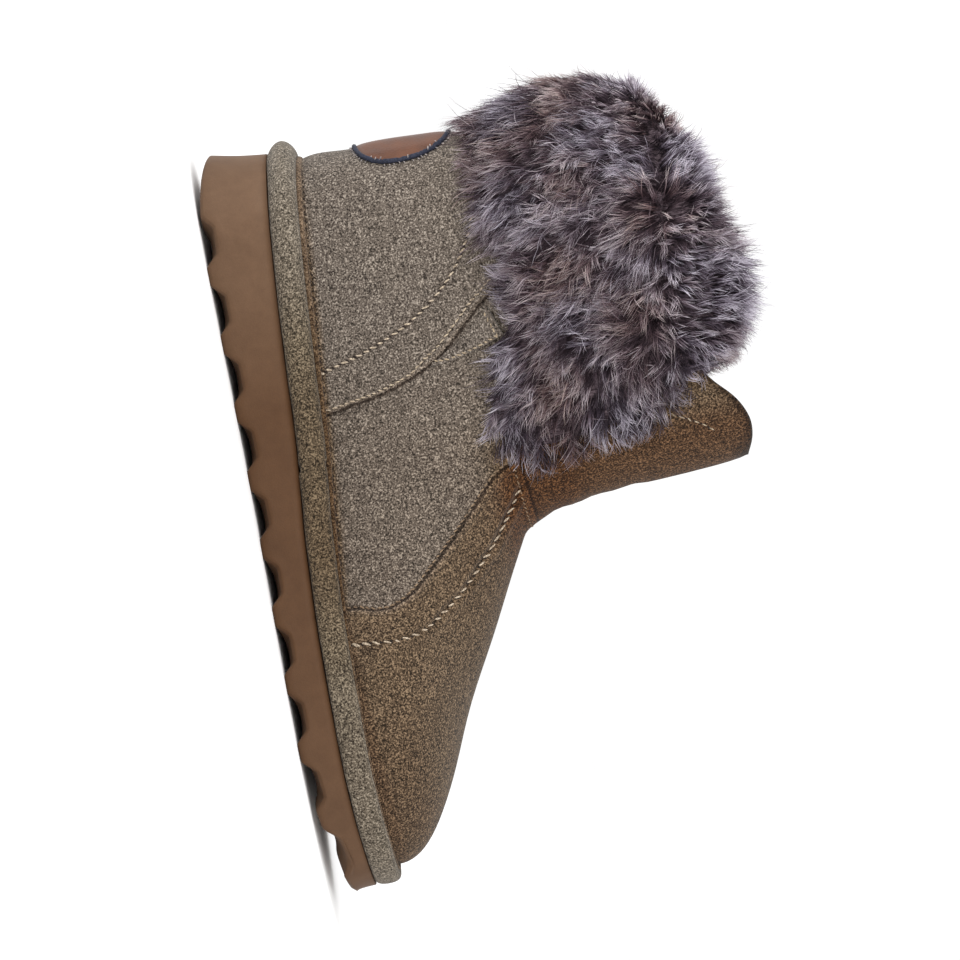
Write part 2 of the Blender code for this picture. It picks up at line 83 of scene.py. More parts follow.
# How far forward the fur may reach: height, and millimetres from the back of the rand
FUR_FRONT = [
    (80, 140), (150, 129), (158, 121.5), (163, 116.5), (166.5, 110), (176, 107), (182, 104), (190, 96),
]
PATCH_STRETCH = 1.09
PATCH_SQUARENESS = 2 / 3

# Painted shade: how much browner and darker the rand and the sole are at places along the boot, 0 where they
# are grey at the lit heel
SHADE_AT = [5, 50, 95, 150, 195, 262]
RAND_SHADE = [0.0, 0.4, 1.6, 2.0, 0.7, 0.25]
SOLE_SHADE = [0.0, 0.4, 1.0, 1.0, 0.9, 0.5]
# Screen colours of the suede's grain, dark to light, and the tints that brown and darken it: on the upper
# partly its own browner tone and partly painted shade, on the rand and piping painted shade
TAUPE = ((36, 32, 28), (88, 80, 73), (147, 138, 128))
RAND_TAUPE = ((42, 38, 32), (97, 89, 79), (150, 141, 128))
WELT_BROWN = ((42, 32, 25), (92, 76, 61), (138, 119, 100))
TONE_AND_SHADE_TINTS = ((0.76, 0.62, 0.46), (0.66, 0.43, 0.29))
RAND_SHADE_TINTS = ((0.70, 0.64, 0.54), (0.78, 0.70, 0.62))


def row(x, z, y=0.0):
    """A point in metres from a place that was measured in millimetres from the back of the rand."""
    return Vector(((x + BACK) * MM, y * MM, z * MM))


def measured(places):
    """Three arrays of millimetres, x from the back of the rand, from places in metres."""
    return places[..., 0] / MM - BACK, places[..., 1] / MM, places[..., 2] / MM


def unit(vectors):
    return vectors / np.maximum(np.linalg.norm(vectors, axis=-1, keepdims=True), 1e-9)


def eased(value):
    """From 0 to 1 with a soft start and end."""
    value = np.clip(value, 0, 1)
    return value * value * (3 - 2 * value)


def smooth_line(points, step=0.5):
    """A Catmull-Rom line through given points, with a point about every step."""
    points = [Vector(p) for p in points]
    ends = [points[0] * 2 - points[1], *points, points[-1] * 2 - points[-2]]
    line = []
    for a, b, c, d in zip(ends, ends[1:], ends[2:], ends[3:]):
        count = max(2, int((c - b).length / step))
        for i in range(count):
            t = i / count
            square, cube = a * 2 - b * 5 + c * 4 - d, b * 3 - a - c * 3 + d
            line.append((b * 2 + (c - a) * t + square * t**2 + cube * t**3) / 2)
    return line + [points[-1]]


# Shader wiring


class Wire:
    """A socket whose arithmetic adds Math nodes to its material."""

    def __init__(self, shader, socket):
        self.shader = shader
        self.socket = socket

    def maths(self, operation, first, second, **settings):
        return self.shader.node("Math", {"operation": operation, **settings}, [first, second])

    def __add__(self, other):
        return self.maths("ADD", self, other)

    def __mul__(self, other):
        return self.maths("MULTIPLY", self, other)

    def __sub__(self, other):
        return self.maths("SUBTRACT", self, other)

    def __rsub__(self, other):
        return self.maths("SUBTRACT", other, self)

    def clamped(self):
        return self.maths("ADD", self, 0.0, use_clamp=True)

    def between(self, low, high):
        """0 at low, 1 at high, with a soft start and end."""
        inputs = {"Value": self, "From Min": low, "From Max": high}
        return self.shader.node("MapRange", {"interpolation_type": "SMOOTHSTEP"}, inputs)


class Finish:
    """A material of one Principled shader, which is wired up in Python."""

    def __init__(self, name, **constants):
        self.material = bpy.data.materials.new(name)
        self.material.use_nodes = True
        self.tree = self.material.node_tree
        self.principled = self.tree.nodes["Principled BSDF"]
        for socket, value in constants.items():
            self.principled.inputs[socket.replace("_", " ")].default_value = value
        self.place = self.node("TexCoord", {}, {}, "Object")

    def node(self, kind, settings, inputs, output=0):
        made = self.tree.nodes.new("ShaderNode" + kind)
        for name, value in settings.items():
            if name == "stops":
                ramp = made.color_ramp
                while len(ramp.elements) < len(value):
                    ramp.elements.new(0.5)
                for element, (position, colour) in zip(ramp.elements, value):
                    element.position = position
                    element.color = (*colour, 1)
            else:
                setattr(made, name, value)
        named = inputs.items() if isinstance(inputs, dict) else enumerate(inputs)
        for name, value in named:
            if isinstance(value, Wire):
                self.tree.links.new(value.socket, made.inputs[name])
            else:
                made.inputs[name].default_value = value
        return Wire(self, made.outputs[output])

    def noise(self, size, detail=2.0, roughness=0.5, distortion=0.0, place=None):
        """Noise with lumps of about that size in millimetres."""
        inputs = {"Vector": place or self.place, "Scale": 1 / (size * MM), "Detail": detail}
        return self.node("TexNoise", {}, {**inputs, "Roughness": roughness, "Distortion": distortion})

    def attribute(self, name):
        return self.node("Attribute", {"attribute_name": name}, {}, "Fac")

    def mix(self, share, first, second, blend="MIX"):
        """A colour between two; share is a number or a wire."""
        first, second = (c if isinstance(c, Wire) else (*c, 1) for c in (first, second))
        settings = {"data_type": "RGBA", "blend_type": blend}
        return self.node("Mix", settings, {0: share, 6: first, 7: second}, 2)

    def tinted(self, colour, share, factor):
        """A colour with a share of it multiplied by factor."""
        return self.mix(share, colour, self.mix(1.0, colour, factor, "MULTIPLY"))

    def ramp(self, value, *stops):
        """A colour by a value; each stop is where it lies and a screen colour."""
        stops = [(place, srgb(*colour)) for place, colour in stops]
        return self.node("ValToRGB", {"stops": stops}, {"Fac": value})

    def feed(self, socket, wire):
        self.tree.links.new(wire.socket, self.principled.inputs[socket])

    def bump(self, height, distance, strength=1.0):
        """Raises the surface by height, where 1 is distance in millimetres."""
        inputs = {"Height": height, "Distance": distance * MM, "Strength": strength}
        self.feed("Normal", self.node("Bump", {}, inputs))


def srgb(*colour):
    """A linear colour from a screen colour, 0 to 255."""
    return tuple(((c / 255 + 0.055) / 1.055) ** 2.4 if c > 10 else c / 255 / 12.92 for c in colour)


def suede(name, grain_colours, seams=False, size=0.6, browns=TONE_AND_SHADE_TINTS):
    """Brushed suede: salt-and-pepper grain, a cloudy nap, a soft sheen, and browner and darker where an
    attribute says, partly its own browner tone and partly painted shade.
    """
    finish = Finish(name, Roughness=0.95, Sheen_Weight=0.07, Sheen_Roughness=0.5, Specular_IOR_Level=0.08)
    grain = finish.noise(size, 2, 0.6)
    fleck = finish.noise(size * 2.2, 2, 0.55, 0.6)
    cloud = finish.noise(15, 3, 0.55)
    warmth = finish.attribute("warmth")
    mixed = (grain * 0.8 + fleck * 0.2 - 0.51) * (warmth.clamped() * 0.26 + 1.0) + 0.51
    dark, mean, light = grain_colours
    colour = finish.ramp(mixed, (0.39, dark), (0.485, mean), (0.54, mean), (0.63, light))
    colour = finish.tinted(colour, cloud.between(0.35, 0.7) * 0.35, (0.80, 0.78, 0.76))
    # Browner and darker by the attribute: partly the suede's own tone, partly painted shade
    colour = finish.tinted(colour, warmth.clamped(), browns[0])
    colour = finish.tinted(colour, (warmth - 1).clamped(), browns[1])
    if seams:
        # Painted shade in the grooves at the overlay edges and along the stitch rows, with the tongue's dark
        # cut edge
        edge = finish.attribute("edge") + (finish.noise(0.8, 2, 0.6) - 0.5) * 1.6
        groove_shade = edge.between(-0.5, 0.15) * (1 - edge.between(0.35, 1.3))
        shade = (groove_shade * 0.9 + finish.attribute("dip") * 0.8).clamped()
        colour = finish.tinted(colour, shade, (0.20, 0.16, 0.14))
        # A painted highlight on the raised lip beside each overlay edge
        lip_highlight = edge.between(-1.9, -0.5) * (1 - edge.between(-0.5, 0.0))
        colour = finish.tinted(colour, lip_highlight * 0.45, (1.55, 1.45, 1.35))
    finish.feed("Base Color", colour)
    finish.bump(grain * 0.8 + fleck * 0.4, 0.5, 0.8)
    return finish.material


def fleece(name, dark, light):
    """Curly short pile."""
    finish = Finish(name, Roughness=1.0, Sheen_Weight=0.3, Specular_IOR_Level=0.1)
    curl = finish.noise(2.2, 3, 0.6, 1.6)
    fine = finish.noise(0.8, 2, 0.6)
    finish.feed("Base Color", finish.ramp(curl * 0.75 + fine * 0.25, (0.35, dark), (0.62, light)))
    finish.bump(curl + fine * 0.3, 1.6, 0.9)
    return finish.material


def sole_foam(name):
    """Moulded tan sole: fine pits, faint flow marks and a dull skin; painted shade makes it browner and
    darker away from the heel, and slightly darker in the pits.
    """
    finish = Finish(name, Specular_IOR_Level=0.14)
    cloud = finish.noise(30, 3, 0.6)
    pits = finish.noise(0.55, 2, 0.6)
    blotch = finish.noise(5, 3, 0.6)
    tans = (0.3, (98, 75, 57)), (0.55, (109, 85, 66)), (0.75, (118, 93, 73))
    colour = finish.ramp(cloud * 0.6 + blotch * 0.4, *tans)
    # Painted shade: browner and darker away from the lit heel
    colour = finish.tinted(colour, finish.attribute("warmth").clamped(), (0.60, 0.49, 0.37))
    # Painted shade: slightly darker in the pits
    colour = finish.tinted(colour, 1 - pits.between(0.35, 0.6) * 0.18, (0.7, 0.68, 0.66))
    finish.feed("Base Color", colour)
    finish.feed("Roughness", pits * 0.2 + 0.52)
    finish.bump(pits * 0.6 + blotch * 0.4, 0.14, 0.6)
    return finish.material


def thread(name, colour, dark):
    """Twisted thread, lighter on its plies than between them; the darker colour between them is painted
    shade.
    """
    finish = Finish(name, Roughness=0.75, Specular_IOR_Level=0.25)
    ply = finish.noise(0.5, 2, 0.5, 1.0)
    # Painted shade between the plies
    finish.feed("Base Color", finish.ramp(ply, (0.35, dark), (0.6, colour)))
    finish.bump(ply, 0.12, 0.8)
    return finish.material


def patch_leather(name):
    """Smooth tan leather with fine pores, darker in the pores: painted shade."""
    finish = Finish(name, Specular_IOR_Level=0.3)
    inputs = {"Vector": finish.place, "Scale": 1400.0}
    pores = finish.node("TexVoronoi", {"feature": "F1"}, inputs, "Distance")
    cloud = finish.noise(7, 4, 0.6)
    colour = finish.ramp(cloud, (0.3, (72, 41, 24)), (0.6, (87, 52, 33)), (0.8, (97, 61, 39)))
    # Painted shade: darker in the pores
    finish.feed("Base Color", finish.tinted(colour, 1 - pores.between(0.0, 0.35), (0.72, 0.68, 0.65)))
    finish.feed("Roughness", cloud * 0.25 + 0.38)
    finish.bump(pores, 0.12, 0.7)
    return finish.material


def fur_fibre(name):
    """Fur fibres: dark plum-brown at the root, pale lilac-grey towards the tip, mottled by lock; the dark
    reaches far up each fibre, partly the fur's own dark roots and partly painted shade from the gaps between
    locks.
    """
    finish = Finish(name, Roughness=0.7, Specular_IOR_Level=0.2)
    along, tone, tint = (finish.attribute(name) for name in ("along", "tone", "tint"))
    height = (along + (tone - 0.5) * 0.8).clamped()
    # Dark until past the middle of each fibre: partly its own dark roots, partly painted shade between the
    # locks
    greys = (0.30, (43, 35, 43)), (0.56, (82, 72, 84)), (0.80, (143, 135, 148)), (1.0, (200, 194, 206))
    browns = (0.30, (44, 30, 34)), (0.56, (85, 64, 66)), (0.82, (136, 113, 111)), (1.0, (186, 168, 163))
    grey, brown = finish.ramp(height, *greys), finish.ramp(height, *browns)
    finish.feed("Base Color", finish.mix(tint, grey, brown))
    return finish.material


def underfur(name):
    """The dark dense wool under the fibres."""
    finish = Finish(name, Roughness=1.0, Specular_IOR_Level=0.1)
    stretched = finish.node("Mapping", {}, {"Vector": finish.place, "Scale": (1.0, 1.0, 0.18)})
    hairs = finish.noise(0.7, 3, 0.6, 0.6, stretched)
    finish.feed("Base Color", finish.ramp(hairs, (0.35, (44, 35, 40)), (0.65, (108, 94, 100))))
    finish.bump(hairs, 1.5, 1.0)
    return finish.material


# Modelling by hand


def only(*pieces):
    """Selects these pieces alone, or nothing."""
    bpy.ops.object.select_all(action="DESELECT")
    for piece in pieces:
        piece.select_set(True)
        bpy.context.view_layer.objects.active = pieces[0]


def edit(piece, *steps):
    """Runs steps on everything in a piece's edit mode."""
    only(piece)
    bpy.ops.object.mode_set(mode="EDIT")
    bpy.ops.mesh.select_all(action="SELECT")
    for step in steps:
        step()
    bpy.ops.object.mode_set(mode="OBJECT")


def modify(piece, kind, **settings):
    only(piece)
    modifier = piece.modifiers.new(kind, kind)
    for name, value in settings.items():
        setattr(modifier, name, value)
    bpy.ops.object.modifier_apply(modifier=modifier.name)


def smoother(piece, levels=2):
    modify(piece, "SUBSURF", levels=levels, render_levels=levels)


def new_piece(name, data):
    piece = bpy.data.objects.new(name, data)
    bpy.context.scene.collection.objects.link(piece)
    return piece


def copy_of(node, name):
    """A copy of a CAD node's mesh, with its doubles merged and its triangles paired."""
    piece = new_piece(name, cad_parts[node].data.copy())
    piece.data.materials.clear()
    flat, square = math.radians(70), math.radians(80)
    edit(
        piece,
        lambda: bpy.ops.mesh.remove_doubles(threshold=1e-5),
        lambda: bpy.ops.mesh.tris_convert_to_quads(face_threshold=flat, shape_threshold=square),
    )
    return piece


def finished(piece, material, node=None, angle=60):
    """Sets the finish, smooths the shading and lets the piece ride on the boot."""
    if material:
        piece.data.materials.append(material)
    only(piece)
    bpy.ops.object.shade_smooth_by_angle(angle=math.radians(angle))
    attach(piece, "root")
    if node:
        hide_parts(node)
    return piece


def tube(name, places, radius, roundness, swells=None):
    """A closed round tube along places, as a mesh; swells are shares of its radius in millimetres."""
    curve = bpy.data.curves.new(name, "CURVE")
    curve.dimensions = "3D"
    curve.bevel_depth = radius * MM
    curve.bevel_resolution = roundness
    spline = curve.splines.new("POLY")
    spline.points.add(len(places) - 1)
    for point, place, swell in zip(spline.points, places, swells or [1.0] * len(places)):
        point.co = (*place, 1)
        point.radius = swell
    spline.use_cyclic_u = True
    only(new_piece(name, curve))
    bpy.ops.object.convert(target="MESH")
    return bpy.context.object


def tree_of(mesh):
    """A mesh's faces for finding where a straight line meets them."""
    return BVHTree.FromPolygons([v.co for v in mesh.vertices], [f.vertices for f in mesh.polygons])


def points_of(mesh, what="co"):
    values = np.empty(len(mesh.vertices) * 3)
    mesh.vertices.foreach_get(what, values)
    return values.reshape(-1, 3)


def set_points(mesh, places):
    mesh.vertices.foreach_set("co", places.ravel())
    mesh.update()


def set_attribute(mesh, name, values):
    data = mesh.attributes.new(name, "FLOAT", "POINT").data
    data.foreach_set("value", np.asarray(values, dtype=np.float32))


def painted_shade_along(mesh, shares):
    """Painted shade along the boot, from the heel to the toe: how much browner and darker a piece is there.
    """
    x, _, _ = measured(points_of(mesh))
    set_attribute(mesh, "warmth", np.interp(x, SHADE_AT, shares))


def beside(places, line):
    """Millimetres from a seam, positive on its toe side, and along it, for places seen from the side."""
    line = np.array([(p.x, p.y) for p in smooth_line(line, 1.0)])
    x, _, z = measured(places)
    starts, spans = line[:-1], np.diff(line, axis=0)
    lengths = np.linalg.norm(spans, axis=1)
    before = np.concatenate([[0], np.cumsum(lengths)])
    nearest = np.full(len(x), 1e9)
    side = np.zeros(len(x))
    along = np.zeros(len(x))
    for i, (start, span, length) in enumerate(zip(starts, spans, lengths)):
        t = np.clip(((x - start[0]) * span[0] + (z - start[1]) * span[1]) / length**2, 0, 1)
        dx, dz = x - start[0] - t * span[0], z - start[1] - t * span[1]
        far = np.hypot(dx, dz)
        closer = far < nearest
        nearest[closer] = far[closer]
        side[closer] = np.sign(dx * span[1] - dz * span[0])[closer]
        along[closer] = (before[i] + t * length)[closer]
    return nearest * side, along


def outward(places, normals):
    """How far each point faces away from the middle of the last, from -1 to 1."""
    line = np.array([tuple(p) for p in smooth_line(LAST_MIDDLE, 4)]) * MM
    gaps = places[:, None, :] - line[None, :, :]
    nearest = gaps[np.arange(len(places)), np.argmin(np.linalg.norm(gaps, axis=2), axis=1)]
    return np.sum(unit(nearest) * normals, axis=1)


def faces_outward(mesh):
    """The middles of a mesh's faces, and how far each faces out."""
    centres = np.array([face.center for face in mesh.polygons])
    return centres, outward(centres, np.array([face.normal for face in mesh.polygons]))


def hump(value, width):
    """A bell curve, 1 where the value is 0."""
    return np.exp(-((value / width) ** 2))


# The upper


def refine_near_seams(piece, reach=4.5):
    """Cuts the faces finer beside the seams, so that troughs and lips have enough points."""
    mesh = piece.data
    centres, facing = faces_outward(mesh)
    near = np.zeros(len(centres), bool)
    for line in (COUNTER_STITCH, COUNTER_EDGE, VAMP_EDGE, VAMP_STITCH):
        near |= np.abs(beside(centres, line)[0]) < reach
    near &= (facing > 0) & (centres[:, 2] < 100 * MM) & (np.abs(centres[:, 1]) > 8 * MM)
    form = bmesh.new()
    form.from_mesh(mesh)
    form.faces.ensure_lookup_table()
    edges = {edge for index in np.flatnonzero(near) for edge in form.faces[index].edges}
    edges = [edge for edge in edges if edge.calc_length() > 0.9 * MM]
    bmesh.ops.subdivide_edges(form, edges=edges, cuts=2, use_grid_fill=True)
    form.to_mesh(mesh)
    form.free()


def model_upper():
    """The suede wall: troughs and lips at its seams, soft creases, painted shade along its stitch rows, and
    how brown and shaded it is.
    """
    piece = copy_of("upper", "suede_upper")
    smoother(piece)
    refine_near_seams(piece)
    mesh = piece.data
    places, normals = points_of(mesh), points_of(mesh, "normal")
    outside = eased((outward(places, normals) + 0.1) / 0.3)
    x, y, z = measured(places)
    below_fur = 1 - eased((z - 92) / 8)

    lift = np.zeros(len(places))
    dip = np.zeros(len(places))
    for line, depth in ((COUNTER_STITCH, 0.7), (VAMP_STITCH, 0.9)):
        off, along = beside(places, line)
        off = off + 0.25 * np.sin(along / 2.9)
        puckers = 0.5 * hump(np.abs(off) - 2.1, 1.0) * (1 + 0.25 * np.sin(along / 1.3))
        lift += depth * (puckers - hump(off, 0.9) * 0.8)
        # Painted shade in the dip along the stitch row
        dip += 0.55 * hump(off, 0.8)
    edge = np.full(len(places), -10.0)
    for line in (COUNTER_EDGE, VAMP_EDGE):
        off, _ = beside(places, line)
        if line is VAMP_EDGE:
            off = -off
        closer = np.abs(off) < np.abs(edge)
        edge[closer] = off[closer]
        lift += 0.45 * hump(off + 1.1, 0.8) - 0.45 * hump(off - 0.7, 0.7)
    off, _ = beside(places, THROAT_EDGE)
    closer = (np.abs(off) < np.abs(edge)) & (x > 127)
    edge[closer] = off[closer] * -1 - 0.35
    lift *= below_fur

    # Soft creases where the shaft meets the foot, and the front of the shaft pressed by its lobes
    waves = 0.35 * np.sin(x / 9.5 + 1.3 * np.sin(z / 14)) * np.sin(z / 11 + y / 17)
    ankle = hump(z - 78, 22) * hump(x - 108, 26)
    lift += waves * (0.35 + ankle)
    lift -= 0.9 * hump(y / 5 + 0.3 * np.sin(z / 13), 1) * eased((x - 120) / 15) * eased((z - 104) / 10)
    for height, reach, depth in ((104, 4, 0.7), (117, 6, 0.5), (131, 5, 0.45)):
        centre = height + 3 * np.sin(y / 12)
        lift -= depth * hump(z - centre, reach) * eased((x - 118) / 14)
        lift += depth * 0.7 * hump(z - centre - 6.5, reach) * eased((x - 118) / 14)
    places += normals * (lift * outside * MM)[:, None]
    set_points(mesh, places)
    set_attribute(mesh, "edge", edge)

    # The tongue's dark cut edge, widest at the front
    bearing = np.arctan2(places[:, 1], places[:, 0] - SHAFT_MIDDLE)
    turn_of = np.clip(((bearing / math.pi + 1) * 90).astype(int), 0, 179)
    crest = np.full(180, -1e9)
    np.maximum.at(crest, turn_of, z)
    edge_width = 0.9 + 2.6 * (1 - eased(np.abs(bearing) / 0.6))
    rim = (np.abs(bearing) < 1.1) * (z > 150) * (1 - eased((crest[turn_of] - z - edge_width) / 1.6))
    # Painted shade along the stitch rows below the fur, with the tongue's dark cut edge
    set_attribute(mesh, "dip", np.maximum(np.clip(dip, 0, 1) * below_fur, rim))

    # Browner and darker towards the front and over the vamp, partly the vamp's own tone and partly painted
    # shade; painted shade on the tongue under the fur and in a band over the rand
    vamp = eased((beside(places, VAMP_EDGE)[0] + 2) / 5) * (x > 110)
    foot = np.interp(x, *RAND_TOP)
    warmth = 0.08 + 0.22 * eased((x - 70) / 60)
    warmth += (1.05 - warmth) * np.maximum(vamp, eased((z - 92) / 4) * (x > 105))
    warmth += 0.15 * eased((x - 190) / 45) * eased((48 - z) / 12)
    warmth += 0.7 * eased((z - 80) / 12) * eased((x - 116) / 14)
    warmth += 0.6 * hump(z - 96, 15) * eased((x - 108) / 14)
    warmth += (1.4 - np.minimum(warmth, 1.4)) * (1 - eased((z - foot - 0.4) / 3.2))
    set_attribute(mesh, "warmth", warmth)

    mesh.materials.append(suede("suede_taupe", TAUPE, True))
    mesh.materials.append(fleece("lining_fleece", (120, 112, 104), (205, 198, 188)))
    inside = faces_outward(mesh)[1] < -0.25
    mesh.polygons.foreach_set("material_index", inside.astype(np.int32))
    return finished(piece, None, "upper", 180)


# Stitching


def from_side(tree, point, side):
    """Where a line from one side, level with a point, meets the upper, and which way is out there."""
    return tree.ray_cast(Vector((point.x, side * 0.15, point.z)), Vector((0, -side, 0)))[:2]


def side_line(tree, line, side):
    """A seam laid on the upper from one side: (place, normal) pairs."""
    found = [from_side(tree, row(p.x, p.y), side) for p in smooth_line(line)]
    return [(place, normal) for place, normal in found if place and place.y * side > 0]


def ray_round(tree, angle, height):
    """Where the shaft's outside lies at an angle from its front and a height in metres."""
    way = Vector((math.cos(angle), math.sin(angle), 0))
    place, normal, _, _ = tree.ray_cast(Vector((SHAFT_MIDDLE, 0, height)) + way * 0.2, -way, 0.199)
    return (place, normal) if place else None


def laid_round(tree, places):
    """A row laid round the shaft, through angles from its front and heights in metres."""
    return [found for angle, height in places if (found := ray_round(tree, angle, height))]


def collar_height(tree, angle):
    """The height of the collar's edge at an angle from the front."""
    for step in range(120):
        height = (186 - step * 0.5) * MM
        if ray_round(tree, angle, height):
            return height
    return 160 * MM


def plump_stitch():
    """The points and faces of one stitch, one unit long and one across, along X."""
    only()
    bpy.ops.mesh.primitive_uv_sphere_add(segments=6, ring_count=5, radius=0.5, rotation=(0, math.pi / 2, 0))
    stitch = bpy.context.object
    bpy.ops.object.transform_apply(rotation=True)
    places = points_of(stitch.data)
    faces = [tuple(face.vertices) for face in stitch.data.polygons]
    bpy.data.objects.remove(stitch)
    return places, faces


STITCH = plump_stitch()


def aside(tree, laid, side, away):
    """A laid seam moved sideways by away, worked out from the height, and laid on the surface again."""
    moved = []
    for (here, up), (there, _) in zip(laid, laid[1:]):
        if (there - here).length > 0:
            start = here + up.cross((there - here).normalized()) * away(here.z / MM) * MM
            place, normal = from_side(tree, start, side)
            if place:
                moved.append((place, normal))
    return moved


def sew(name, laid, ply, pitch, length, radius, lift, slant, offset=0, start=0, knot=1):
    """Copies of one plump stitch along a laid seam; knot is how much fatter they are over the first 14 mm."""
    sizes = (pitch, length, radius, lift, offset, start)
    pitch, length, radius, lift, offset, start = (size * MM for size in sizes)
    shape, shape_faces = STITCH
    places, faces = [], []
    travelled, due = 0.0, start
    luck = random.Random(name)
    for (here, up), (there, _) in zip(laid, laid[1:]):
        span = (there - here).length
        while due <= travelled + span and span > 0:
            along = (there - here).normalized()
            across = up.cross(along).normalized()
            turn = slant + luck.uniform(-0.2, 0.2)
            fat = radius * (1 + (knot - 1) * max(0.0, 1 - due / (14 * MM)))
            way = (along * math.cos(turn) + across * math.sin(turn)).normalized()
            side = up.cross(way).normalized()
            centre = here.lerp(there, (due - travelled) / span) + across * offset + up * lift
            stretch = length * luck.uniform(0.78, 1.12)
            base = len(places)
            for x, y, z in shape:
                places.append(centre + way * (x * stretch) + side * (y * 2 * fat) + up * (z * 2 * fat))
            faces += [tuple(base + i for i in face) for face in shape_faces]
            due += pitch * luck.uniform(0.88, 1.14)
        travelled += span
    mesh = bpy.data.meshes.new(name)
    mesh.from_pydata([tuple(p) for p in places], [], faces)
    mesh.update()
    return finished(new_piece(name, mesh), ply)


def sew_upper(tree):
    """The rows of stitches on both sides, the tongue and the throat, and near-black pieces beside them for
    the needle holes, which are painted shade.
    """
    sand = thread("thread_sand", (190, 174, 153), (92, 78, 64))
    tan = thread("thread_tan", (178, 162, 140), (88, 75, 61))
    russet = thread("thread_russet", (138, 116, 92), (68, 52, 40))
    # Near-black pieces in the needle holes: painted shade
    hole_shade = thread("needle_holes", (34, 24, 18), (14, 10, 8))
    seams = (("counter", COUNTER_STITCH, 2.9, 0.36), ("vamp", VAMP_STITCH, 3.6, 0.40))
    for side, word in SIDES:
        for name, line, pitch, fat in seams:
            laid = side_line(tree, line, side)
            sew(f"{name}_stitches_{word}", laid, sand, pitch, pitch - 0.3, fat, 0.08, side * 0.42, knot=1.7)
            sew(f"{name}_holes_{word}", laid, hole_shade, pitch, 1.7, 0.42, -0.15, side * 0.9, start=pitch / 2)
        for name, line, away, ply in (
            ("counter_edge", COUNTER_EDGE, lambda z: -side * (1.5 + 1.9 * eased((z - 62) / 10)), tan),
            ("vamp_edge", VAMP_EDGE, lambda z: -side * 1.4, russet),
        ):
            laid = aside(tree, side_line(tree, line, side), side, away)
            sew(f"{name}_stitches_{word}", laid, ply, 2.2, 2.0, 0.31, 0.12, side * 0.3)
            sew(f"{name}_holes_{word}", laid, hole_shade, 2.1, 1.0, 0.28, -0.08, side * 0.4, start=1.05)

    # The tongue's rows: up both sides, and they end under the edge before the front
    for side, word in SIDES:
        places = []
        for i in range(71):
            share = 0.47 + 0.53 * i / 70
            angle = side * TONGUE_HALF * share
            drop = 13 + 22 * eased((share - 0.42) / 0.45)
            places.append((angle, collar_height(tree, angle) - drop * MM))
        laid = laid_round(tree, places)
        sew(f"tongue_stitches_{word}", laid, tan, 3.0, 2.5, 0.26, 0.0, side * 0.3)
        sew(f"tongue_holes_{word}", laid, hole_shade, 3.0, 1.4, 0.36, -0.12, side * 0.2, start=1.5)

    # The throat: one fine row on the vamp, close under its edge
    shares = [i / 60 - 1 for i in range(121)]
    laid = laid_round(tree, [(THROAT_HALF * share, (93.6 - 1.8 * abs(share)) * MM) for share in shares])
    sew("throat_stitches", laid, russet, 2.4, 1.9, 0.26, 0.02, 0.3)

    # Painted shade in the needle holes in the crease over the rand: near-black pieces
    laid = []
    for i in range(901):
        turn = i / 900 * 2 * math.pi
        x = 110 - 128 * math.cos(turn)
        foot = np.interp(x, *CREASE)
        start = row(x, foot, 80 * math.sin(turn))
        out = (start - row(min(max(x, 35), 200), foot, -3)).normalized()
        place, normal, _, _ = tree.ray_cast(start + out * 0.05, -out)
        if place:
            laid.append((place, normal))
    sew("crease_holes", laid, hole_shade, 2.7, 1.5, 0.30, -0.08, 0.3)


def model_tab(tree, side, word, material, ply):
    """The counter's pointed end, which lies over the roots of the fur."""
    corners = [row(x, z) for x, z in TAB_CORNERS]
    only()
    bpy.ops.mesh.primitive_grid_add(x_subdivisions=10, y_subdivisions=22, size=1)
    piece = bpy.context.object
    piece.name = piece.data.name = f"counter_tab_{word}"

    def over(u, v, lift=0.0):
        """A place on the tab and which way is out there; u runs back from its front, v up to its tip."""
        flat = corners[0].lerp(corners[1], u).lerp(corners[3].lerp(corners[2], u), v)
        flat.x += math.sin(v * math.pi) * 1.2 * MM
        place, normal = from_side(tree, flat, side)
        rise = 0.6 + 4.6 * max(0.0, v - 0.45) ** 1.2 + lift
        return place + normal * (rise * MM), normal

    set_points(piece.data, np.array([over(u + 0.5, v + 0.5)[0] for u, v, _ in points_of(piece.data)]))
    if piece.data.polygons[0].normal.y * side < 0:
        edit(piece, bpy.ops.mesh.flip_normals)
    modify(piece, "SOLIDIFY", thickness=1.3 * MM, offset=-0.4)
    modify(piece, "BEVEL", width=0.35 * MM, segments=2, limit_method="ANGLE", angle_limit=math.radians(50))
    finished(piece, material)
    hem = [over(min(0.9, 1.3 / max(0.1, 18.0 * (i / 90))), i / 90, 0.42) for i in range(8, 86)]
    top = [over(i / 40, 0.93, 0.42) for i in range(3, 38)]
    for laid, name in ((hem, "hem"), (top, "top")):
        sew(f"tab_{name}_stitches_{word}", laid, ply, 2.1, 1.8, 0.30, 0.0, side * 0.35)


# Sole, rand and insole


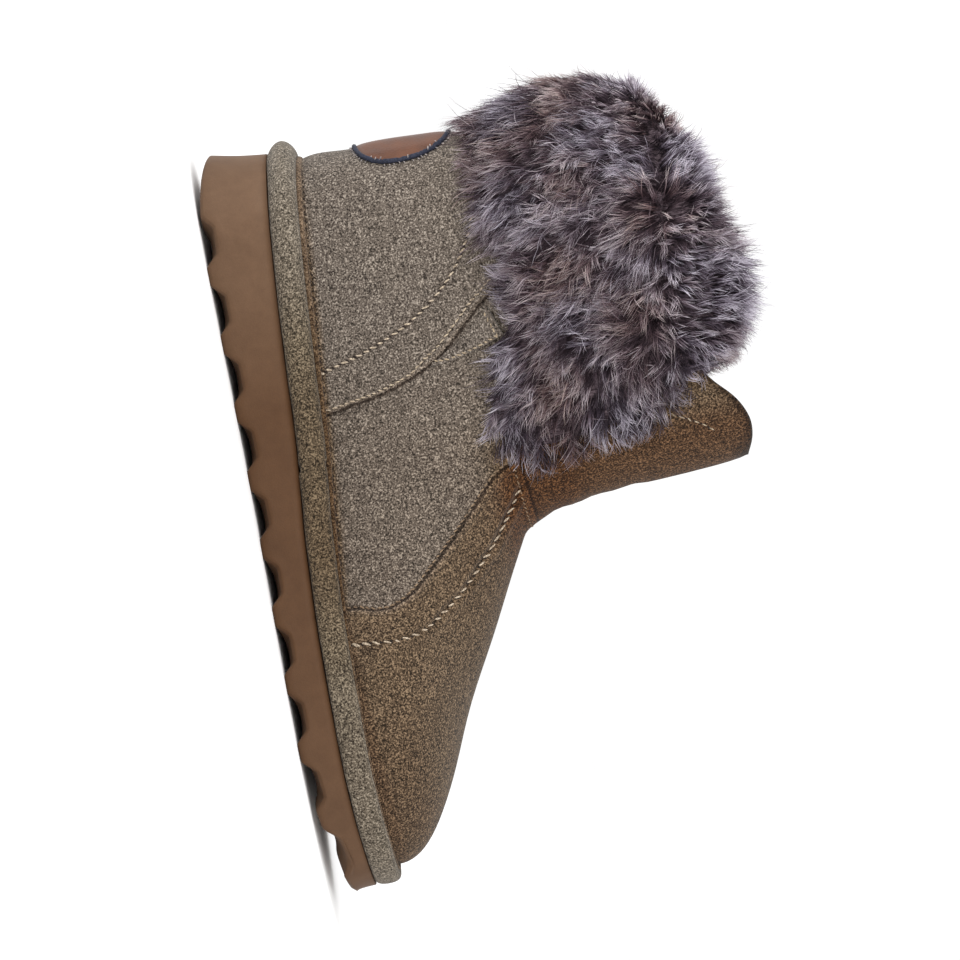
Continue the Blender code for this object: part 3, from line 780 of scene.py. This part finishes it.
def model_rand():
    """The wrap of the midsole, with its butt seam on the inner side."""
    piece = copy_of("midsole_wrap", "suede_rand")
    smoother(piece)
    mesh = piece.data
    places, normals = points_of(mesh), points_of(mesh, "normal")
    x, y, z = measured(places)
    lift = 0.12 * np.sin(x / 5.3 + 2 * np.sin(x / 17)) * np.sin(z / 2.1 + x / 8)
    joint = x - BUTT_SEAM + 0.25 * np.sin(z)
    lift += (y < -20) * (0.35 * hump(np.abs(joint) - 1.5, 0.9) - 0.55 * hump(joint, 0.55))
    lift += 1.3 * (1 - eased((x + 2) / 14)) * hump(normals[:, 2], 0.8)
    places += normals * ((lift + 0.15) * MM)[:, None]
    places[:, 2] -= 0.3 * MM * eased(-normals[:, 2])
    set_points(mesh, places)
    # Painted shade: browner and darker away from the lit heel
    painted_shade_along(mesh, RAND_SHADE)
    material = suede("suede_rand", RAND_TAUPE, size=0.62, browns=RAND_SHADE_TINTS)
    return finished(piece, material, "midsole_wrap", 180)


def model_piping(upper_node):
    """The narrow rolled ridge between the rand and the upper."""
    form = bmesh.new()
    form.from_mesh(upper_node.data)
    bmesh.ops.remove_doubles(form, verts=form.verts, dist=1e-5)
    rim = [face for face in form.faces if face.normal.z < -0.85 and face.calc_center_median().z < 45 * MM]
    inside = set(rim)
    neighbours = {}
    for edge in (edge for face in rim for edge in face.edges):
        if sum(other in inside for other in edge.link_faces) == 1:
            for a, b in (edge.verts, reversed(edge.verts)):
                neighbours.setdefault(a, []).append(b)
    loops = []
    waiting = dict.fromkeys(neighbours)
    while waiting:
        loop = [waiting.popitem()[0]]
        while onward := [v for v in neighbours[loop[-1]] if v in waiting]:
            waiting.pop(onward[0])
            loop.append(onward[0])
        loops.append(loop)
    outer = max(loops, key=lambda loop: max(v.co.x for v in loop) - min(v.co.x for v in loop))
    ring = [v.co.copy() for v in outer]
    form.free()

    middle = sum(ring, Vector()) / len(ring)
    spaced = [ring[0]]
    for p in ring[1:]:
        if (p - spaced[-1]).length > 3 * MM:
            spaced.append(p)
    swells = [np.interp(p.x / MM - BACK, [0, 90, 150, 200], [1.45, 1.35, 1.0, 0.55]) for p in spaced]
    places = []
    for p, swell in zip(spaced, swells):
        away = Vector((p.x - middle.x, p.y, 0)).normalized()
        places.append(p + away * 1.0 * MM + Vector((0, 0, (1.2 + 0.9 * swell) * MM)))
    piece = tube("welt_piping", places, 1.0, 3, swells)
    edit(piece, lambda: bpy.ops.mesh.remove_doubles(threshold=1e-6), bpy.ops.mesh.normals_make_consistent)
    smoother(piece, 1)
    # Painted shade: browner and darker away from the lit heel
    painted_shade_along(piece.data, RAND_SHADE)
    return finished(piece, suede("suede_welt", WELT_BROWN, browns=RAND_SHADE_TINTS))


def model_sole():
    """The sole, whose edges keep some of their sharpness."""
    piece = copy_of("outsole", "moulded_outsole")
    only(piece)
    bpy.ops.object.mode_set(mode="EDIT")
    bpy.ops.mesh.select_all(action="DESELECT")
    bpy.ops.mesh.edges_select_sharp(sharpness=math.radians(38))
    bpy.ops.transform.edge_crease(value=0.55)
    bpy.ops.object.mode_set(mode="OBJECT")
    smoother(piece)
    # Painted shade: browner and darker away from the lit heel
    painted_shade_along(piece.data, SOLE_SHADE)
    return finished(piece, sole_foam("sole_foam"), "outsole", 50)


def model_insole():
    piece = copy_of("insole", "fleece_insole")
    smoother(piece)
    return finished(piece, fleece("insole_fleece", (150, 142, 132), (222, 216, 206)), "insole", 180)


def rounder(value):
    """A circle's cosine or sine, changed to that of the patch's squarer outline."""
    return math.copysign(abs(value) ** PATCH_SQUARENESS, value)


def model_patch():
    """The bare leather patch, with a navy cord round it and the teeth of its border stitch."""
    piece = copy_of("heel_patch", "bare_patch")
    smoother(piece)
    places = points_of(piece.data) - points_of(piece.data, "normal") * [0.3 * MM] + [0.45 * MM, 0, 0]
    foot = places[:, 2].min()
    places[:, 2] = foot + (places[:, 2] - foot) * PATCH_STRETCH
    set_points(piece.data, places)
    finished(piece, patch_leather("patch_leather"), "heel_patch", 60)
    tree = tree_of(piece.data)
    low, high = Vector(places.min(axis=0)), Vector(places.max(axis=0))
    middle = (low + high) / 2
    axis = Vector((-6 * MM, middle.y, middle.z))
    tip = places[np.argmax(places[:, 1])]
    widest = math.atan2(tip[1] - middle.y, axis.x - tip[0])
    rim = []
    for i in range(145):
        turn = i / 144 * 2 * math.pi
        for share in np.linspace(1.02, 0.8, 23):
            swing = rounder(math.cos(turn)) * share * widest
            height = middle.z + rounder(math.sin(turn)) * share * (high.z - low.z) / 2
            way = Vector((-math.cos(swing), math.sin(swing), 0))
            place, normal, _, _ = tree.ray_cast(Vector((axis.x, axis.y, height)) + way * 0.06, -way, 0.059)
            if place:
                rim.append((place, normal))
                break
    places = []
    for i in range(len(rim) - 1):
        near = [rim[(i + shift) % (len(rim) - 1)][0] for shift in range(-3, 4)]
        places.append(sum(near, Vector()) / len(near) - rim[i][1] * 0.35 * MM)
    cord = tube("patch_border_cord", places, 0.88, 2)
    finished(cord, thread("thread_navy", (40, 44, 60), (18, 20, 30)))
    slate = thread("thread_slate", (176, 166, 162), (70, 66, 74))
    sew("patch_border_teeth", rim, slate, 1.7, 1.5, 0.21, 0.42, math.radians(70), -0.95)


# The fur


class FurBand:
    """The padded band that the fur grows from: up the shaft, over the collar and a little way inside."""

    rows, columns = 72, 180
    climb, dome = 44, 22

    # Height and the fur's front edge there, in millimetres
    front_edge = [(84, 123), (104, 126), (125, 127), (145, 123), (155, 116), (165, 105)]
    # Height and how far the padding stands off the wall
    padding = [(92, 0.8), (100, 2.2), (108, 4.2), (118, 6.0), (150, 6.2), (165, 5.0)]
    # Share of the way from back to front, the height of the lowest roots, and the crest over the collar
    heights = [
        (0.00, 101, 0.5), (0.10, 100, 2.0), (0.20, 96.5, 6.5), (0.30, 97.5, 9.0), (0.40, 101.5, 10.7),
        (0.50, 103.5, 12.2), (0.60, 102, 13.5), (0.69, 99.5, 17.2), (0.79, 96, 17.5), (0.83, 94.5, 15.0),
        (0.87, 91.5, 12.0), (0.93, 86.5, 6.4), (0.97, 88.5, 3.0), (1.00, 92, 0.5),
    ]

    def __init__(self, tree):
        self.tree = tree
        self.levels = [height for height, _ in self.front_edge]
        self.reaches = [self.reach_at(height, place) for height, place in self.front_edge]
        grid = np.stack([self.profile(side) for side in np.linspace(-1, 1, self.columns)], axis=1)
        for _ in range(3):
            beside_it = grid[:-2, 1:-1] + grid[2:, 1:-1] + grid[1:-1, :-2] + grid[1:-1, 2:]
            grid[1:-1, 1:-1] = (grid[1:-1, 1:-1] * 2 + beside_it) / 6
        self.places = grid
        along = np.gradient(grid, axis=1)
        self.up = unit(np.gradient(grid, axis=0))
        self.normals = unit(np.cross(along, self.up))
        low = self.climb // 2
        if np.sum(self.normals[low] * (grid[low] - np.array([SHAFT_MIDDLE, 0, 0.13]))) < 0:
            self.normals *= -1
        self.width = np.linalg.norm(along, axis=2)[low].sum()

    def reach_at(self, height, place):
        """The turn from the back at which the wall reaches the fur's edge."""
        for step in range(240):
            turn = math.radians(100 + step * 0.3)
            found = ray_round(self.tree, math.pi - turn, height * MM)
            if found and found[0].x > (place + BACK) * MM:
                return turn
        return math.radians(150)

    def profile(self, side):
        """One column: from the lowest roots up the wall, over the crest and down inside."""
        share = abs(side)
        shares, roots, crests = zip(*self.heights)
        foot = np.interp(share, shares, roots) * MM
        crest = np.interp(share, shares, crests) * MM
        fade = 0.25 + 0.75 * eased((1 - share) / 0.12)
        top = collar_height(self.tree, math.pi + side * self.reaches[-1]) - 0.6 * MM
        column = []
        for r in range(self.climb):
            height = foot + (top - foot) * r / (self.climb - 1)
            angle = math.pi + side * np.interp(height / MM, self.levels, self.reaches)
            found = ray_round(self.tree, angle, height)
            if found:
                place = found[0]
                way = Vector((found[1].x, found[1].y, 0)).normalized()
            stand = np.interp(height / MM, *zip(*self.padding)) * fade
            stand += 2.4 * hump((height / MM - 128) / 17, 1) * (1 - eased(share / 0.35))
            stand -= 3.2 * eased((height / MM - 144) / 14) * (1 - eased(share / 0.35))
            column.append(place + way * (stand * MM))
        stand = (column[-1] - place).length
        half = (stand + 4.0 * MM) / 2
        middle = column[-1] - way * half
        for r in range(1, self.dome + 1):
            turn = math.pi * r / self.dome
            rise = Vector((0, 0, crest * math.sin(turn) ** 0.8))
            column.append(middle + way * (half * math.cos(turn)) + rise)
        while len(column) < self.rows:
            column.append(column[-1] - Vector((0, 0, 1.2 * MM)))
        return np.array([tuple(p) for p in column])

    def at(self, values, u, v):
        """Values of a grid at shares u along and v up the band."""
        c = np.clip(u, 0, 1) * (self.columns - 1)
        r = np.clip(v, 0, 1) * (self.rows - 1)
        c0 = np.minimum(c.astype(int), self.columns - 2)
        r0 = np.minimum(r.astype(int), self.rows - 2)
        fc, fr = (c - c0)[:, None], (r - r0)[:, None]
        low = values[r0, c0] * (1 - fc) + values[r0, c0 + 1] * fc
        high = values[r0 + 1, c0] * (1 - fc) + values[r0 + 1, c0 + 1] * fc
        return low * (1 - fr) + high * fr

    def surface(self):
        """The band as a tree of faces, for finding the nearest place on it."""
        wide = self.columns
        faces = [
            (r * wide + c, r * wide + c + 1, (r + 1) * wide + c + 1, (r + 1) * wide + c)
            for r in range(self.rows - 1)
            for c in range(wide - 1)
        ]
        return BVHTree.FromPolygons([tuple(p) for p in self.places.reshape(-1, 3)], faces)


def fibre_mesh(name, paths, widths, tone, tint):
    """Tapered three-sided fibres, each closed at its root and pointed at its tip."""
    count, knots, _ = paths.shape
    ways = np.gradient(paths, axis=1)
    sides = unit(np.cross(ways, [0.31, 0.17, 0.93]))
    tops = unit(np.cross(ways, sides))
    steps = np.linspace(0, 1, knots)
    taper = np.interp(steps[:-1], [0, 0.4, 0.8, 1.0], [1.0, 0.95, 0.6, 0.3])[None, :, None, None]
    turns = np.arange(3) * 2 * math.pi / 3
    ring = sides[:, :-1, None, :] * np.cos(turns)[:, None] + tops[:, :-1, None, :] * np.sin(turns)[:, None]
    rings = paths[:, :-1, None, :] + ring * widths[:, None, None, None] * taper
    points = np.concatenate([rings.reshape(count, -1, 3), paths[:, -1:, :]], axis=1)
    per = points.shape[1]
    faces = [(0, 1, 2)]
    for low in range(0, (knots - 2) * 3, 3):
        for i in range(3):
            j = (i + 1) % 3
            faces += [(low + i, low + 3 + i, low + 3 + j), (low + i, low + 3 + j, low + j)]
    last = (knots - 2) * 3
    faces += [(last + i, per - 1, last + (i + 1) % 3) for i in range(3)]
    corners = (np.array(faces)[None] + (np.arange(count) * per)[:, None, None]).reshape(-1)
    mesh = bpy.data.meshes.new(name)
    mesh.vertices.add(count * per)
    mesh.vertices.foreach_set("co", points.reshape(-1))
    mesh.loops.add(len(corners))
    mesh.loops.foreach_set("vertex_index", corners.astype(np.int32))
    mesh.polygons.add(len(corners) // 3)
    mesh.polygons.foreach_set("loop_start", np.arange(0, len(corners), 3, dtype=np.int32))
    mesh.update(calc_edges=True)
    along = np.append(np.repeat(steps[:-1], 3), 1.0)
    set_attribute(mesh, "along", np.tile(along, count))
    set_attribute(mesh, "tone", np.repeat(tone, per))
    set_attribute(mesh, "tint", np.repeat(tint, per))
    return new_piece(name, mesh)


def wander(places, seed, size):
    """A smooth field from -1 to 1 with patches of about that size in millimetres, for swirls and mottling."""
    luck = np.random.default_rng(seed)
    total = np.zeros(len(places))
    for _ in range(9):
        wave = unit(luck.normal(0, 1, (1, 3)))[0] * luck.uniform(0.7, 1.4) * math.pi / (size * MM)
        total += np.sin(places @ wave + luck.uniform(0, 2 * math.pi))
    return np.clip(total / 3.4, -1, 1)


# The coat, its long loose guard hairs, and the fur inside the collar: the lowest and highest root as shares
# of the way up the band, how far a lock spreads, and the shortest and longest lock in millimetres
FIBRES = {
    "coat": (0.0, 0.93, 1.0, 8.5, 13.0),
    "guard": (0.0, 0.88, 1.4, 12.0, 18.0),
    "inside": (0.90, 1.0, 1.2, 5.0, 10.0),
}
BAND_HEIGHT = 105


def over_tab(paths):
    """Which fibres would lie on the counter's pointed ends."""
    x, _, z = measured(paths)
    inside = np.ones(x.shape, bool)
    for (ax, az), (bx, bz) in zip(TAB_CLEAR, TAB_CLEAR[1:] + TAB_CLEAR[:1]):
        inside &= (bx - ax) * (z - az) - (bz - az) * (x - ax) > 0
    return inside.any(axis=1)


def past_front(paths):
    """Which fibres would reach past the cuff's front line, which slants back towards the crest."""
    heights, reach = zip(*FUR_FRONT)
    x, _, z = measured(paths)
    return (x > np.interp(z, heights, reach)).any(axis=1)


def grow_locks(band, seed, locks, fibres, kind, knots):
    """Fibres in locks over the band, of one kind."""
    luck = np.random.default_rng(seed)
    low, high, spread, short, long = FIBRES[kind]
    lock_u = luck.uniform(0, 1, locks)
    lock_v = luck.uniform(low, high, locks)
    n = locks * fibres
    of = np.repeat(np.arange(locks), fibres)
    u = np.clip(lock_u[of] + luck.normal(0, spread * MM / band.width, n), 0, 1)
    v = np.clip(lock_v[of] + luck.normal(0, spread / BAND_HEIGHT, n), 0, 1)
    root = band.at(band.places, u, v)
    normal = unit(band.at(band.normals, u, v))
    lock_root = band.at(band.places, lock_u, lock_v)
    lock_normal = unit(band.at(band.normals, lock_u, lock_v))
    lock_up = unit(band.at(band.up, lock_u, lock_v))
    share = np.abs(lock_u * 2 - 1)
    x, _, z = measured(lock_root)

    # Which way the locks lie: down below the parting, up and out above it, forward near the front edges
    forward = unit(np.cross(lock_normal, lock_up))
    forward *= np.sign(lock_u - 0.5)[:, None] * band_turn(band)
    parting = 162 - 8 * hump(x - 86, 22) + 2.5 * wander(lock_root, 5, 16)
    above = eased((z - parting + luck.normal(0, 3.0, locks) + 4) / 8)
    above = np.where(lock_v > band.climb / band.rows, np.maximum(above, 0.75), above)
    above *= 1 - 0.6 * eased((0.34 - share) / 0.16)
    swirl = wander(lock_root, 11, 17)
    lean = 0.12 + 1.15 * eased((share - 0.62) / 0.38) + 0.42 * swirl + luck.normal(0, 0.24, locks)
    lean = lean * (1 - above) + above * (0.15 + 0.5 * eased((share - 0.5) / 0.3) + 0.5 * swirl)
    sideways = forward * np.sin(lean)[:, None]
    drop = -lock_up * np.cos(lean)[:, None] + sideways
    sky = np.array([0, 0, 1.0])
    lift = sky * np.cos(lean)[:, None] + sideways + lock_normal * [1, 1, 0.2] * 0.45
    flow = unit(drop * (1 - above)[:, None] + lift * above[:, None])
    bend = unit(np.cross(lock_normal, flow)) * luck.normal(0, 0.5, locks)[:, None]

    length = luck.uniform(short, long, locks)[of] * luck.uniform(0.72, 1.1, n) * MM
    length *= 0.8 + 0.2 * np.clip((z - 92) / 14, 0, 1)[of]
    back_crest = eased((z - 144) / 10) * eased((0.32 - share) / 0.12)
    length *= (1 + 0.22 * wander(lock_root, 9, 11) - 0.42 * back_crest)[of]
    stand = (luck.uniform(0.35, 1.0, locks) * (0.55 + 0.45 * np.clip((z - 95) / 15, 0, 1)))[of]
    if kind == "inside":
        flow = unit(sky * 0.8 - lock_normal * 0.2 + luck.normal(0, 0.3, (locks, 3)))
    first = unit(normal * stand[:, None] + flow[of] * 0.75 + luck.normal(0, 0.11, (n, 3)))
    final = unit(normal * 0.10 + flow[of] + bend[of] + luck.normal(0, 0.15, (n, 3)))
    stray = (luck.uniform(0, 1, n) < (0.3 if kind == "guard" else 0.03))[:, None]
    final = unit(final + stray * luck.normal(0, 0.8, (n, 3)))
    gather = luck.uniform(0.55, 1.0, locks)[of][:, None]

    paths = np.zeros((n, knots, 3))
    paths[:, 0] = root - normal * 0.5 * MM
    step = (length / (knots - 1))[:, None]
    for k in range(1, knots):
        t = (k - 0.5) / (knots - 1)
        way = unit(first * (1 - t) ** 1.3 + final * t)
        paths[:, k] = paths[:, k - 1] + way * step
    for k in range(1, knots):
        t = k / (knots - 1)
        paths[:, k] += (lock_root[of] - root) * gather * t
        paths[:, k] += luck.normal(0, 0.2, (n, 3)) * MM * t
    thick = (0.10, 0.15) if kind == "coat" else (0.075, 0.115)
    widths = luck.uniform(*thick, n) * MM
    tone = 0.50 + 0.20 * wander(lock_root, 40, 7) + luck.uniform(-0.45, 0.45, locks)
    tone = np.clip(tone[of] + luck.normal(0, 0.08, n), 0, 1)
    tint = 0.42 + 0.5 * wander(lock_root, 77, 15) + luck.normal(0, 0.12, locks)
    tint = np.clip(tint - 0.25 * above, 0, 1)[of]
    keep = ~(over_tab(paths) | past_front(paths))
    return paths[keep], widths[keep], tone[keep], tint[keep]


def band_turn(band):
    """1 if the band's normal crossed with its up points forward on its outer half, otherwise -1."""
    r, c = band.climb // 2, band.columns * 3 // 4
    return 1 if np.cross(band.normals[r, c], band.up[r, c])[0] > 0 else -1


def grow_fur(tree):
    """Every fibre of the cuff, over a dark underfur."""
    band = FurBand(tree)
    light = 1
    fibre = fur_fibre("fur_fibre")
    coats = enumerate(("one", "two", "three", "four"))
    groups = [(f"fur_coat_{word}", 3 + number, 1720, 9, "coat", 3) for number, word in coats]
    groups += [("fur_guard_hairs", 21, 1300, 4, "guard", 5), ("fur_inside", 31, 420, 6, "inside", 3)]
    for name, seed, locks, fibres, kind, knots in groups:
        grown = grow_locks(band, seed, locks // light, fibres, kind, knots)
        finished(fibre_mesh(name, *grown), fibre, angle=180)

    base = copy_of("fur_cuff", "underfur_band")
    surface = band.surface()
    places = points_of(base.data)
    for i, p in enumerate(places):
        nearest, facing, _, _ = surface.find_nearest(Vector(p))
        if facing.dot(Vector((nearest.x - SHAFT_MIDDLE, nearest.y, 0.01))) < 0 and nearest.z < 160 * MM:
            facing = -facing
        if (Vector(p) - nearest).dot(facing) > -0.6 * MM:
            places[i] = nearest - facing * 0.7 * MM
    set_points(base.data, places)
    smoother(base, 1)
    finished(base, underfur("underfur"), "fur_cuff", 180)


# The studio


def add_lamp(name, place, size, power, colour, target=(0.06, 0, 0.09)):
    lamp = new_piece(name, bpy.data.lights.new(name, "AREA"))
    lamp.data.size = size
    lamp.data.energy = power
    lamp.data.color = colour
    lamp.location = place
    lamp.rotation_euler = (Vector(target) - Vector(place)).to_track_quat("-Z", "Y").to_euler()


def set_studio():
    """A pale floor that meets a pale sky, and soft lamps from the heel's side."""
    only()
    bpy.ops.mesh.primitive_circle_add(vertices=96, radius=6, fill_type="NGON")
    floor = bpy.context.object
    floor.name = "floor"
    paper = Finish("paper", Roughness=0.9, Specular_IOR_Level=0.0)
    dust = paper.noise(60, 2, 0.5)
    stops = [(0.3, (0.925,) * 3), (0.7, (0.935,) * 3)]
    paper.feed("Base Color", paper.node("ValToRGB", {"stops": stops}, {"Fac": dust}))
    floor.data.materials.append(paper.material)

    world = bpy.data.worlds.new("studio")
    world.use_nodes = True
    sky = world.node_tree.nodes["Background"].inputs
    sky["Color"].default_value = (1, 1, 1, 1)
    sky["Strength"].default_value = 1.08
    bpy.context.scene.world = world
    bpy.context.scene.view_settings.view_transform = "Standard"
    add_lamp("heel_lamp", (-0.85, -0.55, 0.55), 0.6, 8.5, (0.98, 0.99, 1.0))
    add_lamp("side_lamp", (-0.1, -1.1, 0.6), 0.5, 1.5, (1.0, 0.98, 0.95))
    add_lamp("low_lamp", (0.1, -1.2, 0.13), 0.8, 6.5, (1.0, 0.98, 0.95), (0.08, 0, 0.01))
    add_lamp("toe_lamp", (1.0, -0.65, 0.22), 0.6, 3.5, (1.0, 0.97, 0.93), (0.19, 0, 0.02))
    add_lamp("back_lamp", (-0.5, 0.8, 0.7), 0.6, 2.5, (0.97, 0.98, 1.0))


def set_camera():
    """The photograph's angle: the inner side square on, rolled so that the toe points down."""
    turn, climb, roll = math.radians(2.5), math.radians(1.5), math.radians(78.8)
    distance, target, half_view = 2.2, Vector((0.0865, 0.0, 0.0785)), 0.170
    across = Vector((math.cos(turn), math.sin(turn), 0))
    forward = Vector((-math.sin(turn) * math.cos(climb), math.cos(turn) * math.cos(climb), -math.sin(climb)))
    above = across.cross(forward)
    right = across * math.cos(roll) + above * math.sin(roll)
    top = above * math.cos(roll) - across * math.sin(roll)
    camera = new_piece("camera", bpy.data.cameras.new("camera"))
    place = target - forward * distance
    rows = [(right[i], top[i], -forward[i], place[i]) for i in range(3)]
    camera.matrix_world = Matrix(rows + [(0, 0, 0, 1)])
    camera.data.sensor_fit = "HORIZONTAL"
    camera.data.sensor_width = 36
    camera.data.lens = camera.data.sensor_width / 2 / (half_view / distance)
    bpy.context.scene.camera = camera


set_studio()
set_camera()
outside = tree_of(model_upper().data)
sew_upper(outside)
tab_suede = suede("suede_tab", TAUPE)
tab_thread = thread("thread_tab", (170, 153, 129), (86, 72, 57))
for side, word in SIDES:
    model_tab(outside, side, word, tab_suede, tab_thread)
model_rand()
model_piping(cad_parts["upper"])
model_sole()
model_insole()
model_patch()
grow_fur(outside)
